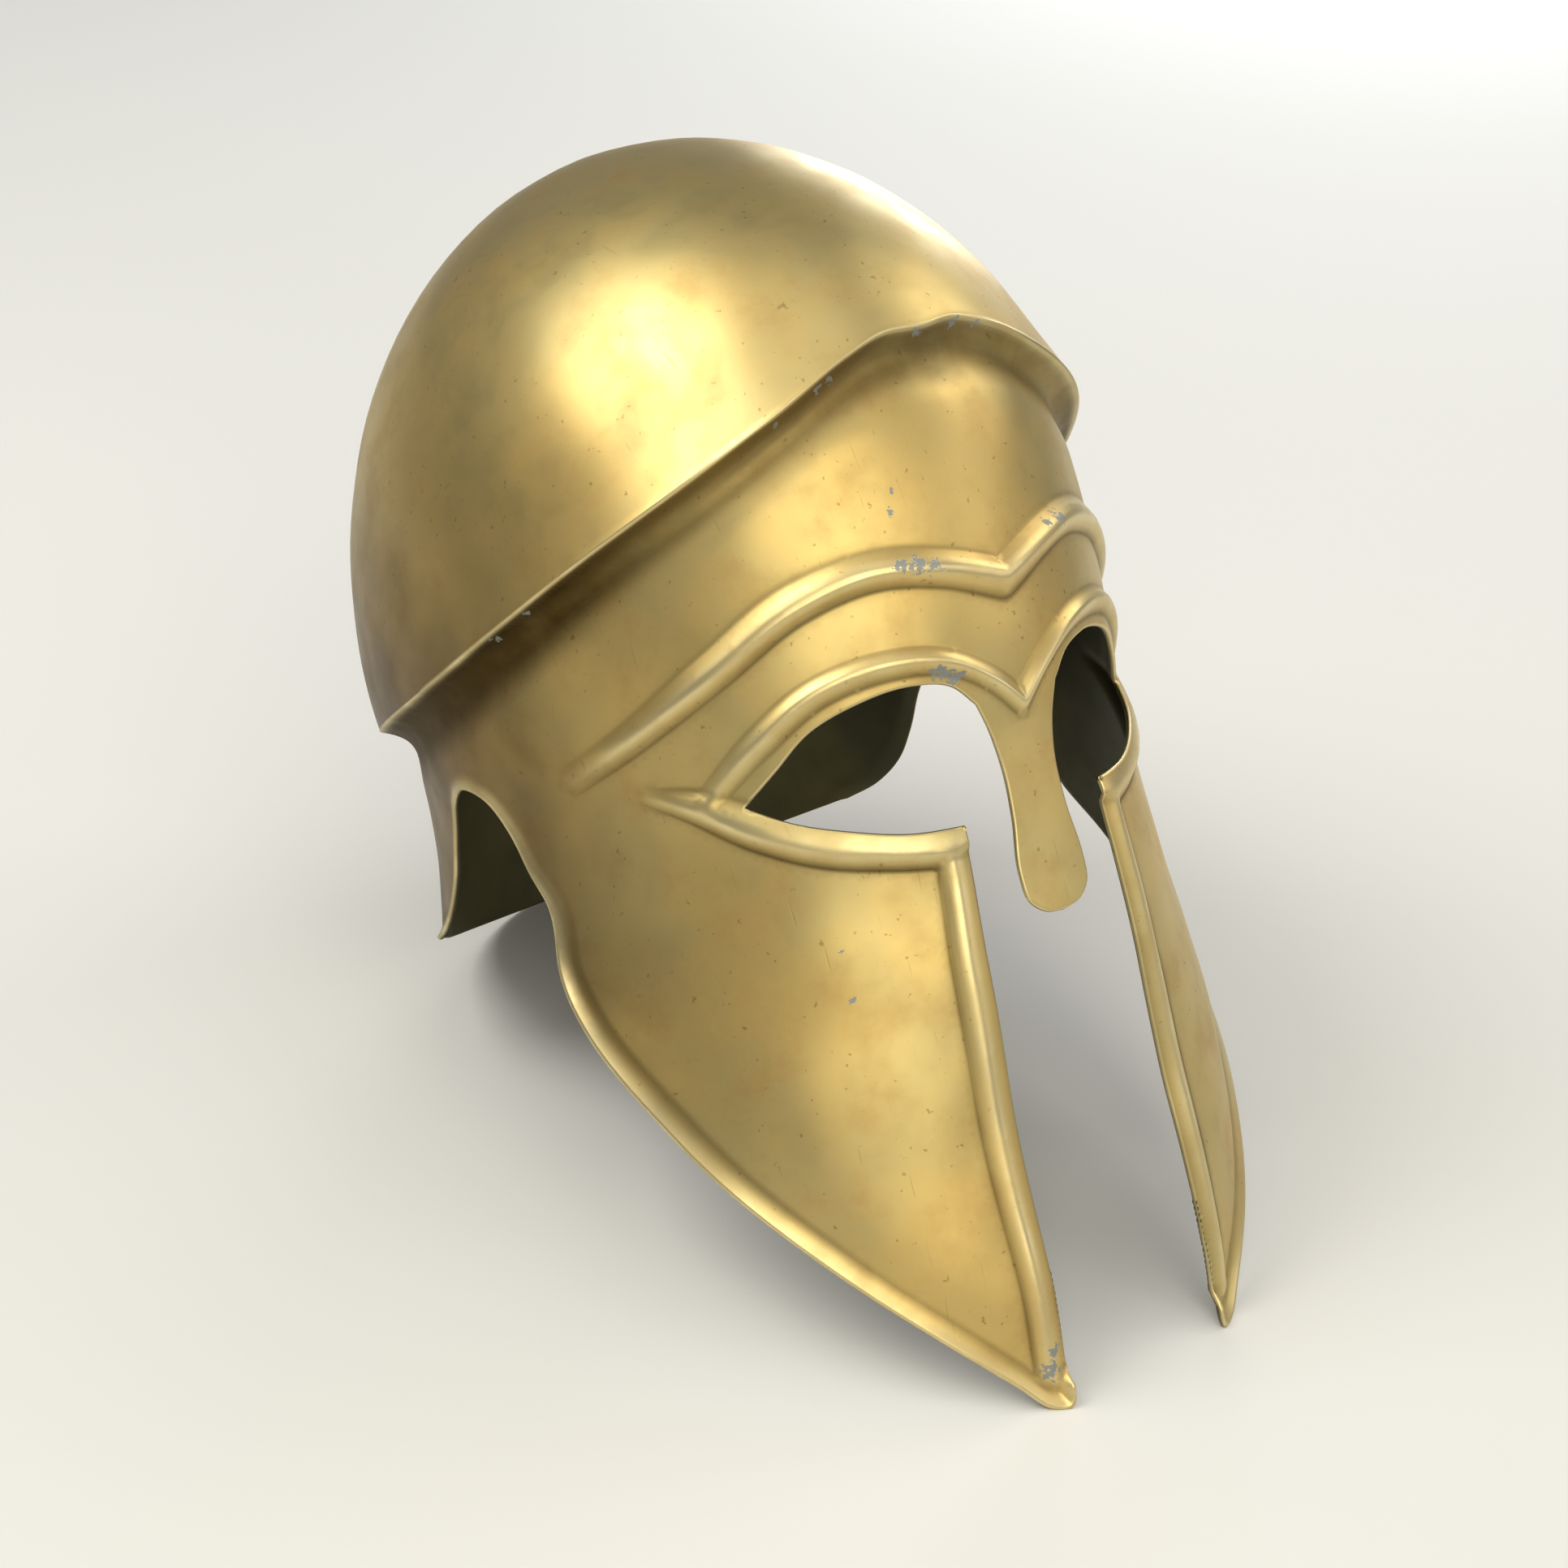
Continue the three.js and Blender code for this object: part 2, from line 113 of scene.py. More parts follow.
# Rows of points beside the ridge, as shares of the step's height, beside the raised lines, as
# shares of the spread above (positive) and below, and beside the edges, as shares of the lattice
step_rows = (0.02, 0.045, 0.075, 0.11, 0.15, 0.2, 0.26, 0.33, 0.41, 0.5, 0.6, 0.7, 0.8, 0.9, 1)
line_rows = (0, 1, -1, 0.85, -0.85, 1.2, -1.2, 0.6, -0.6, 0.3, -0.3)
edge_rows = (0.5, 1, 1.6, 2.3, 3.1, 4)
# Least gap to earlier points in each of these rows and over plain areas, as shares of the lattice
ridge_gap, line_gap, edge_gap, plain_gap = 0.3, 0.35, 0.45, 0.6

# Dirt and painted shade under the ridge's overhang, by depth as a share of the step's height: none
# above the start, full after the rise, and fading out towards the end. Its amount goes by the turn
# in degrees.
darkening_start, darkening_rise, darkening_end, darkening_fade = 0.01, 0.05, 0.95, 0.55
darkening_turns, darkening_amounts = (0, 20, 40, 65), (0.75, 0.6, 0.5, 1)
# Dirt and painted shade in the crease at the foot of each raised line: place and width of its bell,
# as shares of the spread, and how much of it there is above the line, or in front of the border
foot_place, foot_width, foot_other = 0.95, 0.2, 0.5
brow_darkening, rim_darkening, lid_darkening, border_darkening = 0.75, 0.65, 0.9, 0.75
# Dirt and painted shade at the foot of the flare: place and width of its bell, as shares of the
# flare's width, its amount, and from which depth it has that, as a share of the cheek plates' drop
rear_place, rear_width, rear_darkening, rear_full = 0.8, 0.22, 0.6, 0.2
# Metal that is raised this high gets no dirt and no painted shade
undarkened_height = 0.001
# Rubbed bright, with painted highlight: reach at the crown's edge and the rear edge in metres, reach
# beside a crest as a share of the spread, and how bright the rear edge and all free edges are
crown_bright, rear_bright, crest_bright = 0.0012, 0.0022, 0.4
edge_bright = 0.8
# Brown tarnish, with painted shade on the rear side, grows backwards from a place along the helmet,
# over a length. From a height above the eyes, over another, it gives way by the share spared.
darker_back_from, darker_back_over = -0.092, 0.1
spared_from, spared_over, spared = 0.05, 0.09, 0.85

# Level is a share: of the crown's rise above the eyes, or of the cheek plates' drop below.
# level, half width, front reach, back reach, squareness of the front
sections = [
    (-1.06, 0.66, 0.873, 1.04, 2.6),
    (-0.85, 0.826, 0.882, 1.05, 2.65),
    (-0.57, 0.988, 0.878, 1.08, 2.27),
    (-0.28, 0.983, 0.911, 1.08, 1.96),
    (-0.1, 0.904, 0.904, 1.05, 2.1),
    (0.06, 0.889, 0.91, 0.979, 2.12),
    (0.21, 0.945, 0.938, 0.884, 1.93),
    (0.42, 0.965, 0.922, 0.869, 1.86),
    (0.54, 0.96, 0.88, 0.87, 1.86),
    (0.66, 0.955, 0.81, 0.87, 1.86),
]
# Crown's edge: turn in degrees from the face (0) to the nape (180), level, flare of the lip in mm
ridge = [
    (-8, 0.638, 0.6), (0, 0.636, 0.6), (8, 0.638, 0.6), (16, 0.618, 0.8), (30, 0.56, 1.2),
    (45, 0.495, 1.8), (60, 0.427, 1.8), (75, 0.355, 1.4), (90, 0.29, 1), (110, 0.235, 0.6),
    (140, 0.195, 0.4), (180, 0.178, 0.4),
]
# Lines on the sheet: turn and level
guard_bottom = [(180, -0.209), (160, -0.203), (140, -0.181), (124, -0.15)]
cheek_rear = [
    (124, -0.15), (117.5, -0.125), (112.5, -0.085), (109, -0.03), (105.5, 0.045), (101.5, 0.1),
    (96, 0.127), (91, 0.108), (88, 0.056), (85.5, -0.008), (82.4, -0.065), (80.5, -0.175),
    (75.3, -0.277), (63.8, -0.446), (52, -0.628), (40.3, -0.826), (30.7, -0.968), (26.6, -1.022),
    (23.2, -1.03), (21.5, -0.995),
]
cheek_front = [
    (21.5, -0.995), (18.2, -0.84), (16, -0.67), (14.8, -0.48), (14.9, -0.25), (15, -0.055),
]
lower_lid = [(15, -0.055), (24.5, -0.043), (33, -0.017), (40.5, 0.012), (47, 0.046)]
upper_lid = [
    (47, 0.046), (42, 0.082), (35.5, 0.128), (28, 0.151), (19, 0.158), (12.5, 0.142), (8.8, 0.108),
]
nasal = [
    (8.8, 0.108), (6.9, 0.06), (5.9, 0.01), (6, -0.07), (7, -0.165), (6.3, -0.209),
    (3.6, -0.233), (0, -0.24),
]
# Raised lines: turn, level, spread above and below the crest in mm, share of the height
brow = [
    (0, 0.277, 4.2, 6, 1), (10, 0.306, 5.2, 4.6, 1), (20, 0.322, 5.6, 4.2, 1),
    (32, 0.301, 6.4, 3.8, 1), (46, 0.236, 5.6, 4, 0.95), (60, 0.168, 4.4, 3.6, 0.75),
    (72, 0.118, 4, 3, 0.1),
]
rim = [
    (0, 0.095, 3.4, 3.4, 1), (5, 0.137, 3.2, 3.2, 1), (13, 0.182, 3.2, 3.6, 1),
    (23, 0.197, 3.4, 4, 1), (33, 0.182, 3.4, 4, 1), (43, 0.13, 3.4, 4, 0.9), (52, 0.065, 3, 3, 0.4),
]
lid = [
    (18.2, -0.088, 10, 4.4, 1), (27, -0.069, 10, 4.4, 1), (37, -0.04, 9, 4.4, 1),
    (46, 0.004, 7, 4.2, 1), (55, 0.057, 5, 3.4, 0.7), (61, 0.082, 2.5, 2, 0.1),
]
border = [
    (18.2, -0.088, 4.4, 5.4, 1), (18.2, -0.25, 4.4, 5.4, 1), (18.1, -0.48, 4.4, 5.4, 1),
    (19.3, -0.67, 4.4, 5.4, 1), (21.6, -0.84, 4.4, 5.4, 1), (24.6, -0.97, 4.4, 5.4, 0.8),
]


def level_of(share):
    """Metres above the eyes: share x crown rise when positive, share x cheek drop when negative."""
    share = np.asarray(share, float)
    return share * np.where(share > 0, crown_rise, cheek_drop)


def ease(share):
    """0 to 1 with level ends: x^2 (3 - 2x)."""
    return share**2 * (3 - 2 * share)


def smooth(places, values):
    """Cubic through the values; each slope is the mean of its two sides, weighted to the nearer."""
    places, values = np.asarray(places, float), np.asarray(values, float)
    gap = np.diff(places)
    rate = np.diff(values) / gap
    slope = np.empty_like(values)
    slope[1:-1] = (rate[1:] * gap[:-1] + rate[:-1] * gap[1:]) / (gap[1:] + gap[:-1])
    slope[0], slope[-1] = rate[0], rate[-1]

    def at(where):
        i = np.clip(np.searchsorted(places, where) - 1, 0, len(gap) - 1)
        u = np.clip((where - places[i]) / gap[i], 0, 1)
        start = (1 + 2 * u) * (1 - u) ** 2 * values[i] + u * (1 - u) ** 2 * gap[i] * slope[i]
        end = u**2 * (3 - 2 * u) * values[i + 1] + u**2 * (u - 1) * gap[i] * slope[i + 1]
        return start + end

    return at


def line(table, gap):
    """Columns of a table as a smooth line against its own length on the flat sheet."""
    table = np.array(table, float)
    table[:, 0] *= degree
    table[:, 1] = level_of(table[:, 1])
    along = np.append(0, np.cumsum(np.hypot(*np.diff(table[:, :2], axis=0).T)))
    at = np.linspace(0, along[-1], int(np.ceil(along[-1] / gap)) + 1)
    return np.stack([smooth(along, values)(at) for values in table.T], 1)


def nearest(path, flat):
    """Distance to a path of segments, side (positive left of travel), and the path's columns there."""
    start, step = path[:-1], np.diff(path, axis=0)
    away = flat[:, None] - start[:, :2]
    run = np.clip((away * step[:, :2]).sum(2) / (step[:, :2] ** 2).sum(1), 0, 1)
    miss = away - run[..., None] * step[:, :2]
    best = np.argmin((miss**2).sum(2), 1)
    row = np.arange(len(flat))
    side = step[best, 0] * away[row, best, 1] - step[best, 1] * away[row, best, 0]
    there = start[best] + run[row, best][:, None] * step[best]
    return np.hypot(*miss[row, best].T), side, there


section_levels, *section_columns = np.array(sections).T
half_at, front_at, back_at, square_at = (smooth(level_of(section_levels), c) for c in section_columns)
ridge_turn, ridge_level, ridge_lip = np.array(ridge).T
ridge_at, lip_at = smooth(ridge_turn, level_of(ridge_level)), smooth(ridge_turn, ridge_lip / 1000)


def body(turn, level):
    """Face and neck: (w sin, -r cos, level), divided by (|sin|^n + |cos|^n)^(1/n), n = 2 behind."""
    side, ahead = np.sin(np.radians(turn)), np.cos(np.radians(turn))
    power = np.where(ahead > 0, square_at(level), 2)
    scale = (np.abs(side) ** power + np.abs(ahead) ** power) ** (-1 / power)
    reach = np.where(ahead > 0, front_at(level) * front_reach, back_at(level) * back_reach)
    return np.stack([half_at(level) * half_width * side * scale, -reach * ahead * scale, level], -1)


def dome(turn, angle):
    """Half ellipsoid: (w cos a sin t, -r cos a cos t, centre + h sin a), longer in front."""
    ahead = np.cos(np.radians(turn))
    height = np.sin(angle) * np.where(angle > 0, crown_rise - dome_centre, dome_under)
    reach = np.where(ahead > 0, front_reach, back_reach)
    x = half_width * np.cos(angle) * np.sin(np.radians(turn))
    return np.stack([x, -reach * np.cos(angle) * ahead, dome_centre + height], -1)


def ridge_angle(turn):
    """Angle of the dome at the ridge: arcsine of its level above the widest ring."""
    above = ridge_at(turn) - dome_centre
    return np.arcsin(above / np.where(above > 0, crown_rise - dome_centre, dome_under))


brow_line, rim_line, lid_line, border_line = (line(t, lattice) for t in (brow, rim, lid, border))
rear_line, front_line = line(cheek_rear, lattice), line(cheek_front, lattice)


def raised(path, height, flat):
    """Height x rise x cosine^1.4 of a quarter wave of distance over the spread on that side."""
    distance, side, there = nearest(path, flat)
    share = np.clip(distance / np.where(side > 0, there[:, 2], there[:, 3]) * 1000, 0, 1)
    return height * there[:, 4] * np.cos(np.pi / 2 * share) ** 1.4


def flared(flat):
    """Flare height x (1 - distance from the rear edge over its width)^1.5, less round the ear."""
    share = np.clip((-flat[:, 1] / cheek_drop - flare_from) / flare_over, 0, 1)
    width = notch_width + (flare_width - notch_width) * ease(share)
    rear = np.clip(nearest(rear_line, flat)[0] / width, 0, 1)
    return flare_height * width / flare_width * (1 - rear) ** 1.5


def relief(flat):
    """The higher of brow and rim, with the highest of lid, border and flare on top."""
    lines = np.maximum(raised(brow_line, brow_height, flat), raised(rim_line, rim_height, flat))
    sides = np.maximum(raised(lid_line, lid_height, flat), raised(border_line, border_height, flat))
    return lines + np.maximum(sides, flared(flat))


def crown(turn, share):
    """Dome from the ridge (share 0) to the top (1), pushed out by lip x (1 - distance / width)^2."""
    low = ridge_angle(turn)
    angle = low + (np.pi / 2 - low) * share
    lip = lip_at(turn) * np.clip(1 - (angle - low) * half_width / lip_width, 0, 1) ** 2
    side, ahead = np.sin(np.radians(turn)), np.cos(np.radians(turn))
    return dome(turn, angle) + np.stack([lip * side, -lip * ahead, 0 * lip], -1)


def face(flat):
    """Body + overhang (1 - s)^3, and relief - hollow sin^2(pi sqrt s) along the normal.

    s is the depth under the ridge over the step's height.
    """
    turn, level = flat[:, 0] / degree, flat[:, 1]
    top = ridge_at(turn)
    share = np.clip((top - level) / step_height, 0, 1)[:, None]
    hollow = hollow_depth * np.sin(np.pi * np.sqrt(share)) ** 2
    overhang = crown(turn, 0) - body(turn, top)
    east = body(turn + 0.1, level) - body(turn - 0.1, level)
    north = body(turn, level + 0.0001) - body(turn, level - 0.0001)
    normal = np.cross(east, north)
    normal /= np.linalg.norm(normal, axis=1)[:, None]
    return body(turn, level) + overhang * (1 - share) ** 3 + normal * (relief(flat)[:, None] - hollow)


# Outline of half the sheet, ridge first
ridge_turns = np.linspace(0, 180, ridge_columns + 1)
ridge_flat = np.stack([ridge_turns * degree, ridge_at(ridge_turns)], 1)
bottom_line, nasal_line = line(guard_bottom, lattice), line(nasal, lattice)


def straight(start, end):
    """Evenly spaced points from start to end."""
    count = int(np.ceil(np.abs(end - start).max() / lattice)) + 1
    return start + (end - start) * np.linspace(0, 1, count)[:, None]


edges = [
    ridge_flat,
    straight(ridge_flat[-1], bottom_line[0]),
    bottom_line,
    rear_line,
    front_line,
    line(lower_lid, lattice),
    line(upper_lid, lattice),
    nasal_line,
    straight(nasal_line[-1], ridge_flat[0]),
]
outline = np.concatenate([part[:-1] for part in edges])

# Points inside it: rows beside the ridge, lines and edges, then a lattice of equal triangles
rows = np.arange(-1.1 * cheek_drop, 0.7 * crown_rise, lattice * np.sqrt(0.75))
columns = np.arange(0, 180 * degree, lattice)
grid = np.stack(np.meshgrid(columns, rows), -1)
grid[1::2, :, 0] += lattice / 2
grid = grid.reshape(-1, 2)


def inside(flat):
    """Whether points are inside the outline: an odd number of its sides cross to their right."""
    a, b = outline, np.roll(outline, -1, 0)
    rise = np.where(a[:, 1] == b[:, 1], 1, b[:, 1] - a[:, 1])
    found = []
    for block in np.array_split(flat, len(flat) // 2000 + 1):
        x, y = block[:, :1], block[:, 1:]
        spans = (a[:, 1] > y) != (b[:, 1] > y)
        crossings = spans & (x < a[:, 0] + (y - a[:, 1]) * (b[:, 0] - a[:, 0]) / rise)
        found.append(crossings.sum(1) % 2 == 1)
    return np.concatenate(found)


def place(flat, candidates, gap):
    """Adds the candidates that are inside the outline and a gap clear of every point so far."""
    tree = KDTree(len(flat))
    for i, (x, y) in enumerate(flat.tolist()):
        tree.insert((x, y, 0), i)
    tree.balance()
    candidates = candidates[inside(candidates)]
    clear = [tree.find((x, y, 0))[2] > gap for x, y in candidates.tolist()]
    return np.concatenate([flat, candidates[clear]])


def beside(path, gap):
    """Points a gap to the left of a path's travel."""
    step = np.gradient(path[:, :2], axis=0)
    left = np.stack([-step[:, 1], step[:, 0]], 1) / np.hypot(*step.T)[:, None]
    return path[:, :2] + left * np.reshape(gap, (-1, 1))


flat = outline
for depth in step_rows:
    flat = place(flat, ridge_flat - [0, depth * step_height], ridge_gap * lattice)
for path in (brow_line, rim_line, lid_line, border_line):
    for share in line_rows:
        spread = path[:, 2] if share > 0 else path[:, 3]
        flat = place(flat, beside(path, share * spread / 1000), line_gap * lattice)
for depth in edge_rows:
    for path in edges[2:-1]:
        flat = place(flat, beside(path, -depth * lattice), edge_gap * lattice)
flat = place(flat, grid, plain_gap * lattice)
loop = [(i, (i + 1) % len(outline)) for i in range(len(outline))]
result = delaunay_2d_cdt([Vector(p) for p in flat.tolist()], loop, [], 1, 1e-7)
flat = np.array([tuple(p) for p in result[0]])
sheet = np.array([tri for tri in result[2] if len(tri) == 3])
corner = flat[sheet]
turned = np.cross(corner[:, 1] - corner[:, 0], corner[:, 2] - corner[:, 0]) < 0
sheet[turned] = sheet[turned][:, ::-1]

# Dome rings above the ridge, closer together beside it
ridge_index = np.array([np.hypot(*(flat - p).T).argmin() for p in ridge_flat])
skin = face(flat)
skin[ridge_index] = crown(ridge_turns, 0)
share = np.linspace(0, 1, dome_rings + 1)[1:-1, None] ** ring_power
rings = crown(np.broadcast_to(ridge_turns, (dome_rings - 1, ridge_columns + 1)), share)
ring_index = len(skin) + np.arange(rings[..., 0].size).reshape(rings.shape[:2])
ring_index = np.concatenate([ridge_index[None], ring_index])
apex = len(skin) + rings[..., 0].size
skin = np.concatenate([skin, rings.reshape(-1, 3), crown(np.zeros(1), 1)])
p, q = ring_index[:-1, :-1].ravel(), ring_index[:-1, 1:].ravel()
r, s = ring_index[1:, 1:].ravel(), ring_index[1:, :-1].ravel()
top = np.stack([ring_index[-1, :-1], ring_index[-1, 1:], np.full(ridge_columns, apex)], 1)
half = np.concatenate([sheet, np.stack([p, q, r], 1), np.stack([p, r, s], 1), top])


def grime_and_shade(flat):
    """Dirt and painted shade, 0 to 1: in the hollow under the ridge, and bells at the foot of each
    line.

    A bell is exp(-((distance / spread - place) / width)^2). The raised metal itself gets none.
    """
    depth = (ridge_at(flat[:, 0] / degree) - flat[:, 1]) / step_height
    fade = np.clip((darkening_end - depth) / darkening_fade, 0, 1)
    fade *= np.clip((depth - darkening_start) / darkening_rise, 0, 1)
    dirt_and_shade = ease(fade) * np.interp(flat[:, 0] / degree, darkening_turns, darkening_amounts)
    for path, amount in (
        (brow_line, brow_darkening),
        (rim_line, rim_darkening),
        (lid_line, lid_darkening),
        (border_line, border_darkening),
    ):
        distance, side, there = nearest(path, flat)
        foot = distance / np.where(side > 0, there[:, 2], there[:, 3]) * 1000
        fuller = side > 0 if path is border_line else side <= 0
        across = np.where(fuller, 1, foot_other)
        bell = np.exp(-(((foot - foot_place) / foot_width) ** 2))
        dirt_and_shade = np.maximum(dirt_and_shade, amount * across * np.sqrt(there[:, 4]) * bell)
    rear = nearest(rear_line, flat)[0] / flare_width
    below = np.clip(-flat[:, 1] / cheek_drop / rear_full, 0, 1)
    bell = np.exp(-(((rear - rear_place) / rear_width) ** 2))
    dirt_and_shade = np.maximum(dirt_and_shade, rear_darkening * below * bell)
    return dirt_and_shade * (1 - np.clip(relief(flat) / undarkened_height, 0, 1))


def wear_and_highlight(flat):
    """Rubbed bright, with painted highlight, 0 to 1: bells exp(-(distance / reach)^2) over crests,
    crown and rear edges.
    """
    bright = np.exp(-(((ridge_at(flat[:, 0] / degree) - flat[:, 1]) / crown_bright) ** 2))
    for path in (brow_line, rim_line, lid_line, border_line):
        distance, side, there = nearest(path, flat)
        share = distance / np.where(side > 0, there[:, 2], there[:, 3]) * 1000
        bright = np.maximum(bright, there[:, 4] * np.exp(-((share / crest_bright) ** 2)))
    rear = np.exp(-((nearest(rear_line, flat)[0] / rear_bright) ** 2))
    return np.maximum(bright, edge_bright * rear)


# Dirt with painted shade, and rubbed brightness with painted highlight, on the sheet only: none on the
# dome above the ridge
above_ridge = np.zeros(len(skin) - len(flat))
dirt_and_shade, rubbed_and_highlit = np.append(grime_and_shade(flat), above_ridge), np.append(wear_and_highlight(flat), above_ridge)

# Other half by mirror, sharing the middle plane
middle = np.abs(skin[:, 0]) < 1e-6
skin[middle, 0] = 0
mirror = np.arange(len(skin))
mirror[~middle] = len(skin) + np.arange((~middle).sum())
faces = np.concatenate([half, mirror[half][:, ::-1]])
skin = np.concatenate([skin, skin[~middle] * [-1, 1, 1]])
dirt_and_shade, rubbed_and_highlit = np.concatenate([dirt_and_shade, dirt_and_shade[~middle]]), np.concatenate([rubbed_and_highlit, rubbed_and_highlit[~middle]])


def vertex_normals(points, triangles):
    """Sum of the face normals round each point, each as large as its face, made unit length."""
    a, b, c = points[triangles[:, 0]], points[triangles[:, 1]], points[triangles[:, 2]]
    normal = np.cross(b - a, c - a)
    total = np.zeros_like(points)
    for k in range(3):
        np.add.at(total, triangles[:, k], normal)
    return total / np.linalg.norm(total, axis=1)[:, None]


def planished(points):
    """Hammer unevenness, 0 to 1: mean of waves 0.5 + 0.5 sin(2 pi p.k + phase), 17 to 45 mm long."""
    height = np.zeros(len(points))
    for direction, length, phase in planish_waves:
        direction = np.array(direction) / np.linalg.norm(direction)
        height += 0.5 + 0.5 * np.sin(2 * np.pi * points @ direction / length + phase)
    return height / len(planish_waves)


normal = vertex_normals(skin, faces)
skin -= planish_depth * planished(skin)[:, None] * normal
normal = vertex_normals(skin, faces)
inner = skin - wall * normal

# Free edges, as pairs that run with the sheet on their left, filed round
pairs = np.concatenate([faces[:, [0, 1]], faces[:, [1, 2]], faces[:, [2, 0]]])
size = len(skin)
code, back = pairs[:, 0] * size + pairs[:, 1], pairs[:, 1] * size + pairs[:, 0]
free = pairs[~np.isin(code, back)]
along = np.zeros_like(skin)
np.add.at(along, free[:, 0], skin[free[:, 1]] - skin[free[:, 0]])
np.add.at(along, free[:, 1], skin[free[:, 1]] - skin[free[:, 0]])
rim_points = free[:, 0]
outward = np.cross(along[rim_points], normal[rim_points])
outward /= np.linalg.norm(outward, axis=1)[:, None]
edge = (skin[rim_points] + inner[rim_points]) / 2
skin[rim_points] -= edge_round * outward
inner[rim_points] -= edge_round * outward
# Painted highlight, with rubbed brightness, along the filed edges
rubbed_and_highlit[rim_points] = edge_bright
edge_index = np.zeros(size, int)
edge_index[rim_points] = 2 * size + np.arange(len(rim_points))
i, j = free.T
m, n = edge_index[i], edge_index[j]
walls = [(j, i, m), (j, m, n), (n, m, i + size), (n, i + size, j + size)]
walls = np.concatenate([np.stack(wall_part, 1) for wall_part in walls])
solid = np.concatenate([faces, faces[:, ::-1] + size, walls])
points = np.concatenate([skin, inner, edge])

# Chips that show grey metal: turn (negative on the right), level, reach in mm. They lie on the
# brow, the eye rim, the forehead, the crown's edge, the cheek and the cheek's tip.
chips = [
    (-16.2, 0.325, 2.4), (-13.8, 0.321, 2.6), (-11.5, 0.314, 2.2), (15.7, 0.332, 2.4), (12, 0.325, 1.6),
    (-15.2, 0.169, 2), (-13.9, 0.166, 2.4), (-12.6, 0.161, 2.4), (-11.3, 0.155, 2.2),
    (-14, 0.428, 1.1), (-15.1, 0.399, 1.3),
    (-21, 0.588, 1.8), (-18.5, 0.596, 1.5), (-29, 0.553, 1.2), (-1, 0.63, 1.8), (8, 0.632, 1.8),
    (13, 0.622, 1.6), (-70, 0.37, 1.3), (-76, 0.343, 1.6),
    (-36.5, -0.205, 1), (-35.6, -0.285, 1.4), (-24.4, -0.962, 3.2), (-22.6, -0.93, 2),
]
turn, level, reach = np.array(chips).T
chip_places = face(np.stack([np.abs(turn) * degree, level_of(level)], 1))
chip_places *= np.stack([np.sign(turn), np.ones(len(chips)), np.ones(len(chips))], 1)

# Brown tarnish, with painted shade, towards the back; little over the top
behind = np.clip((points[:, 1] - darker_back_from) / darker_back_over, 0, 1)
above = np.clip((points[:, 2] - spared_from) / spared_over, 0, 1)
browned_and_shaded = ease(behind) * (1 - spared * ease(above))

# Leaned back until cheek tips and neck guard stand on the ground, and ground flat there
lean, change = 0.0, np.pi / 8
while change > 1e-7:
    low = points[:, 2] * np.cos(lean) - points[:, 1] * np.sin(lean)
    lean += change if low[points[:, 1] < 0].min() < low[points[:, 1] > 0].min() else -change
    change /= 2
turn_back = np.array([[1, 0, 0], [0, np.cos(lean), np.sin(lean)], [0, -np.sin(lean), np.cos(lean)]])
points, chip_places = points @ turn_back.T, chip_places @ turn_back.T
shift = [0, -(points[:, 1].min() + points[:, 1].max()) / 2, -points[:, 2].min() - foot_cut]
points, chip_places = points + shift, chip_places + shift
points[:, 2] = np.maximum(points[:, 2], 0)

helmet_mesh = bpy.data.meshes.new("brass_helmet")
helmet_mesh.from_pydata(points, [], solid)
helmet_mesh.update()
helmet_mesh.shade_smooth()
# Per point: dirt with painted shade, the inner side, tarnish with painted shade, and rubbed brightness
# with painted highlight
finish = {
    "grime_and_shade": np.concatenate([dirt_and_shade, dirt_and_shade, dirt_and_shade[rim_points]]),
    "inner_side": np.repeat([0.0, 1.0, 0.0], [size, size, len(rim_points)]),
    "browned_and_shaded": browned_and_shaded,
    "rubbed_and_highlit": np.concatenate([rubbed_and_highlit, 0 * rubbed_and_highlit, np.ones(len(rim_points))]),
}
for name, values in finish.items():
    helmet_mesh.attributes.new(name, "FLOAT", "POINT").data.foreach_set("value", values)
helmet = bpy.data.objects.new("brass_helmet", helmet_mesh)
bpy.context.scene.collection.objects.link(helmet)


def linear(code):
    """sRGB hex to linear RGBA."""
    value = np.array([int(code[k : k + 2], 16) for k in (1, 3, 5)]) / 255
    value = np.where(value < 0.04045, value / 12.92, ((value + 0.055) / 1.055) ** 2.4)
    return (*value.tolist(), 1.0)


def add(tree, kind, settings=None, **links):
    """Adds a node, with its settings and the sockets or values that its inputs take."""
    node = tree.nodes.new(kind)
    for name, value in (settings or {}).items():
        setattr(node, name, value)
    for name, value in links.items():
        socket = node.inputs[int(name[1:]) if name[0] == "_" else name.replace("_", " ")]
        if isinstance(value, bpy.types.NodeSocket):
            tree.links.new(value, socket)
        else:
            socket.default_value = value
    return node


def mix(share, low, high):
    """Colour mix: low at share 0, high at share 1."""
    node = add(tree, "ShaderNodeMix", {"data_type": "RGBA"}, _0=share, _6=low, _7=high)
    return node.outputs[2]


def ramp(value, start, end, low=0.0, high=1.0):
    """Value from start to end, smoothed to low and high."""
    smoothed = {"interpolation_type": "SMOOTHSTEP"}
    node = add(tree, "ShaderNodeMapRange", smoothed, _0=value, _1=start, _2=end, _3=low, _4=high)
    return node.outputs[0]


def combine(operation, first, second):
    """One sum, difference, product, quotient, lesser or greater of two values."""
    return add(tree, "ShaderNodeMath", {"operation": operation}, _0=first, _1=second).outputs[0]


def noise(length, detail=3.0):
    """Noise whose largest features are a length in mm apart."""
    scale = 1 / length
    node = add(tree, "ShaderNodeTexNoise", Vector=place_mm, Scale=scale, Detail=detail, Roughness=0.6)
    return node.outputs["Fac"]


